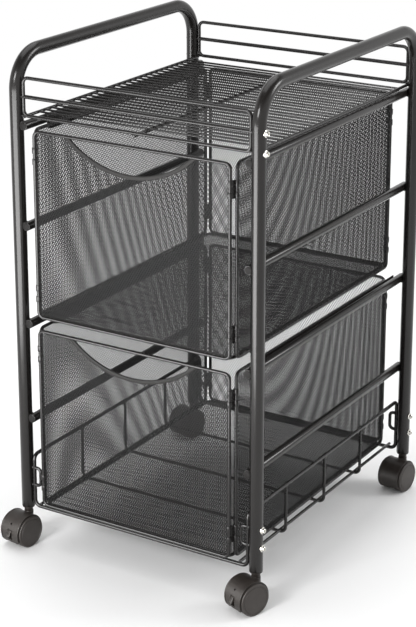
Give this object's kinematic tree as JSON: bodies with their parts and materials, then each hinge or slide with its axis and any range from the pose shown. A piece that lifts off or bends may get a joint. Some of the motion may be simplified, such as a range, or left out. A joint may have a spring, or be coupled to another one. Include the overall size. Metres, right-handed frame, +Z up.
{
  "type": "mobile file cart",
  "caption": "Black steel mobile file cart: bent-tube side hoops, a wire top shelf with guard rails, two sliding mesh file drawers, a wire bottom rack and twin-wheel swivel casters.",
  "frame": {"origin": "on the floor, under the middle of the outline of the cart as it stands", "axes": "+X to the right seen from the front, +Y to the back, +Z up; the drawers open towards -Y"},
  "size_m": [0.4294, 0.5098, 0.7317],
  "materials": {
    "coated_tube": "satin black powder coat",
    "coated_wire": "satin black powder coat on wire",
    "coated_mesh": "satin black powder coat on fine diamond mesh and wire frames",
    "caster_plastic": "moulded satin black plastic",
    "wheel_plastic": "moulded dark grey plastic",
    "plated_steel": "bright nickel plate"
  },
  "bodies": {
    "frame": {"left_hoop": "coated_tube", "left_top_bar": "coated_tube", "left_upper_bar": "coated_tube", "left_middle_bar": "coated_tube", "left_lower_bar": "coated_tube", "right_hoop": "coated_tube", "right_top_bar": "coated_tube", "right_upper_bar": "coated_tube", "right_middle_bar": "coated_tube", "right_lower_bar": "coated_tube", "shelf_deck": "coated_wire", "shelf_front_guard": "coated_wire", "shelf_rear_guard": "coated_wire", "bottom_rack": "coated_wire", "upper_left_runner": "coated_tube", "upper_right_runner": "coated_tube", "lower_left_runner": "coated_tube", "lower_right_runner": "coated_tube", "left_front_stem": "caster_plastic", "right_front_stem": "caster_plastic", "right_rear_stem": "caster_plastic", "left_rear_stem": "caster_plastic"},
    "upper_drawer": {"upper_drawer_front": "coated_mesh", "upper_drawer_grip": "coated_wire", "upper_drawer_back": "coated_mesh", "upper_drawer_floor": "coated_mesh", "upper_drawer_left_side": "coated_mesh", "upper_drawer_left_glide": "coated_tube", "upper_drawer_right_side": "coated_mesh", "upper_drawer_right_glide": "coated_tube"},
    "lower_drawer": {"lower_drawer_front": "coated_mesh", "lower_drawer_grip": "coated_wire", "lower_drawer_back": "coated_mesh", "lower_drawer_floor": "coated_mesh", "lower_drawer_left_side": "coated_mesh", "lower_drawer_left_glide": "coated_tube", "lower_drawer_right_side": "coated_mesh", "lower_drawer_right_glide": "coated_tube"},
    "left_front_caster": {"left_front_hood": "caster_plastic", "left_front_axle": "plated_steel"},
    "left_front_left_wheel": {"left_front_left_wheel": "wheel_plastic"},
    "left_front_right_wheel": {"left_front_right_wheel": "wheel_plastic"},
    "left_front_brake": {"left_front_brake": "caster_plastic"},
    "right_front_caster": {"right_front_hood": "caster_plastic", "right_front_axle": "plated_steel"},
    "right_front_left_wheel": {"right_front_left_wheel": "wheel_plastic"},
    "right_front_right_wheel": {"right_front_right_wheel": "wheel_plastic"},
    "right_front_brake": {"right_front_brake": "caster_plastic"},
    "right_rear_caster": {"right_rear_hood": "caster_plastic", "right_rear_axle": "plated_steel"},
    "right_rear_left_wheel": {"right_rear_left_wheel": "wheel_plastic"},
    "right_rear_right_wheel": {"right_rear_right_wheel": "wheel_plastic"},
    "left_rear_caster": {"left_rear_hood": "caster_plastic", "left_rear_axle": "plated_steel"},
    "left_rear_left_wheel": {"left_rear_left_wheel": "wheel_plastic"},
    "left_rear_right_wheel": {"left_rear_right_wheel": "wheel_plastic"}
  },
  "joints": [
    {"name": "upper_drawer_slide", "type": "slide", "parent": "frame", "child": "upper_drawer", "axis": [0, -1, 0], "range_m": [0, 0.3]},
    {"name": "lower_drawer_slide", "type": "slide", "parent": "frame", "child": "lower_drawer", "axis": [0, -1, 0], "range_m": [0, 0.3]},
    {"name": "left_front_swivel", "type": "hinge", "parent": "frame", "child": "left_front_caster", "pos_m": [-0.18799, -0.20939, 0.04], "axis": [0, 0, 1], "continuous": true},
    {"name": "left_front_left_wheel_spin", "type": "hinge", "parent": "left_front_caster", "child": "left_front_left_wheel", "pos_m": [-0.19021, -0.22523, 0.0232], "axis": [0.9903, -0.1392, 0], "continuous": true},
    {"name": "left_front_right_wheel_spin", "type": "hinge", "parent": "left_front_caster", "child": "left_front_right_wheel", "pos_m": [-0.19021, -0.22523, 0.0232], "axis": [0.9903, -0.1392, 0], "continuous": true},
    {"name": "left_front_brake_pivot", "type": "hinge", "parent": "left_front_caster", "child": "left_front_brake", "pos_m": [-0.19277, -0.24345, 0.0287], "axis": [0.9903, -0.1392, 0], "range_deg": [0, 25]},
    {"name": "right_front_swivel", "type": "hinge", "parent": "frame", "child": "right_front_caster", "pos_m": [0.19401, -0.20939, 0.04], "axis": [0, 0, 1], "continuous": true},
    {"name": "right_front_left_wheel_spin", "type": "hinge", "parent": "right_front_caster", "child": "right_front_left_wheel", "pos_m": [0.18828, -0.22432, 0.0232], "axis": [0.9336, -0.3584, 0], "continuous": true},
    {"name": "right_front_right_wheel_spin", "type": "hinge", "parent": "right_front_caster", "child": "right_front_right_wheel", "pos_m": [0.18828, -0.22432, 0.0232], "axis": [0.9336, -0.3584, 0], "continuous": true},
    {"name": "right_front_brake_pivot", "type": "hinge", "parent": "right_front_caster", "child": "right_front_brake", "pos_m": [0.18169, -0.2415, 0.0287], "axis": [0.9336, -0.3584, 0], "range_deg": [0, 25]},
    {"name": "right_rear_swivel", "type": "hinge", "parent": "frame", "child": "right_rear_caster", "pos_m": [0.19401, 0.24161, 0.04], "axis": [0, 0, 1], "continuous": true},
    {"name": "right_rear_left_wheel_spin", "type": "hinge", "parent": "right_rear_caster", "child": "right_rear_left_wheel", "pos_m": [0.19234, 0.2257, 0.0232], "axis": [0.9945, -0.1045, 0], "continuous": true},
    {"name": "right_rear_right_wheel_spin", "type": "hinge", "parent": "right_rear_caster", "child": "right_rear_right_wheel", "pos_m": [0.19234, 0.2257, 0.0232], "axis": [0.9945, -0.1045, 0], "continuous": true},
    {"name": "left_rear_swivel", "type": "hinge", "parent": "frame", "child": "left_rear_caster", "pos_m": [-0.18799, 0.24161, 0.04], "axis": [0, 0, 1], "continuous": true},
    {"name": "left_rear_left_wheel_spin", "type": "hinge", "parent": "left_rear_caster", "child": "left_rear_left_wheel", "pos_m": [-0.19131, 0.22596, 0.0232], "axis": [0.9781, -0.2079, 0], "continuous": true},
    {"name": "left_rear_right_wheel_spin", "type": "hinge", "parent": "left_rear_caster", "child": "left_rear_right_wheel", "pos_m": [-0.19131, 0.22596, 0.0232], "axis": [0.9781, -0.2079, 0], "continuous": true}
  ]
}
